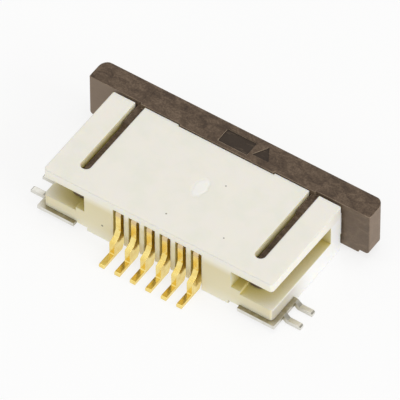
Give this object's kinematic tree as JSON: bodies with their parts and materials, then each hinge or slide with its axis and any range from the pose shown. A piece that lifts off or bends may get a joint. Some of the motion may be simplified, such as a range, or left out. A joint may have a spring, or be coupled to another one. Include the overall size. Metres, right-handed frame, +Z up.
{
  "type": "flat-cable connector",
  "caption": "Surface-mount connector for a flat flexible cable, with blanked gilt contacts, a sliding lock at the cable side and forked solder nails under its ears.",
  "frame": {"origin": "middle of the housing's underside, on the circuit board", "axes": "+X along the row of contacts, +Y towards the side where the cable goes in, +Z up from the board"},
  "size_m": [0.0182, 0.01, 0.0035],
  "materials": {
    "ivory_plastic": "satin",
    "brown_plastic": "satin",
    "gilt": "plated, satin",
    "tin": "tin-plated, satin"
  },
  "bodies": {
    "housing_body": {"housing": "ivory_plastic", "contact_1": "gilt", "contact_2": "gilt", "contact_3": "gilt", "contact_4": "gilt", "contact_5": "gilt", "contact_6": "gilt", "nail_left": "tin", "nail_right": "tin"},
    "slider_body": {"slider": "brown_plastic"}
  },
  "joints": [
    {"name": "slider_travel", "type": "slide", "parent": "housing_body", "child": "slider_body", "axis": [0, 1, 0], "range_m": [0, 0.0015]}
  ]
}
